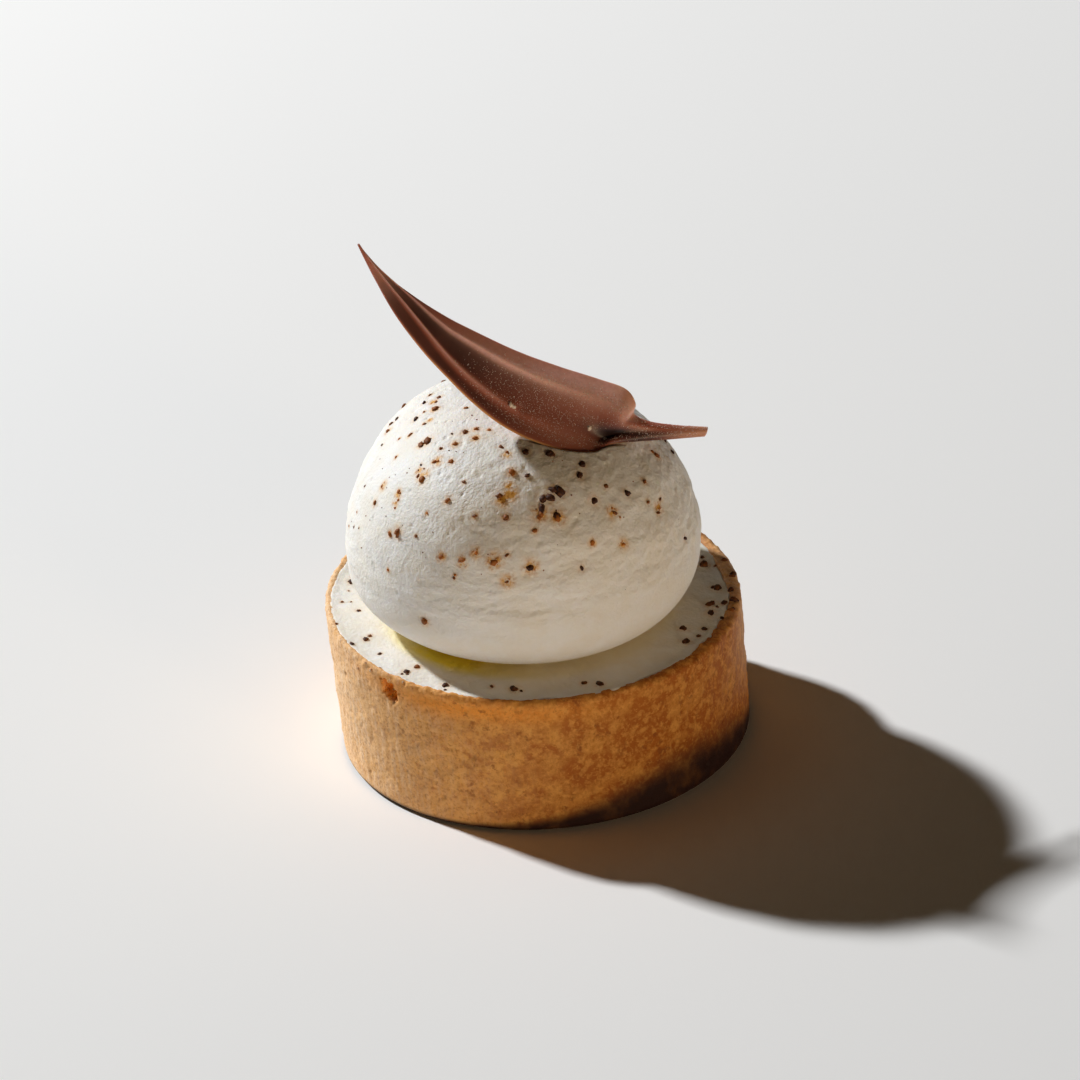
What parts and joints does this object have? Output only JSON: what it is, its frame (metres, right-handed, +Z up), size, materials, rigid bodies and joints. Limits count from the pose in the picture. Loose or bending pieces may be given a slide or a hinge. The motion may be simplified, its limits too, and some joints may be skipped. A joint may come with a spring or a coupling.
{
  "type": "vanilla caramel tart",
  "caption": "Small round tart: straight-sided golden pastry shell filled level with vanilla cream, topped with a scoop of whipped cream, caramel specks and a chocolate leaf.",
  "frame": {"origin": "middle of the flat base that the tart stands on", "axes": "+Z up out of the base, -Y towards the front, where the chocolate leaf's face and the burst blister under the rim show, +X towards the cut end of the leaf's stem"},
  "size_m": [0.0664, 0.0662, 0.0873],
  "materials": {
    "baked_pastry": "matt, sandy golden-brown sweet pastry",
    "vanilla_cream": "satin off-white set cream with brown caramel specks",
    "whipped_cream": "matt off-white whipped cream with brown caramel specks",
    "milk_chocolate": "satin reddish-brown milk chocolate"
  },
  "bodies": {
    "root": {"tart_shell": "baked_pastry", "cream_filling": "vanilla_cream", "whipped_cream": "whipped_cream", "chocolate_leaf": "milk_chocolate"}
  },
  "joints": []
}
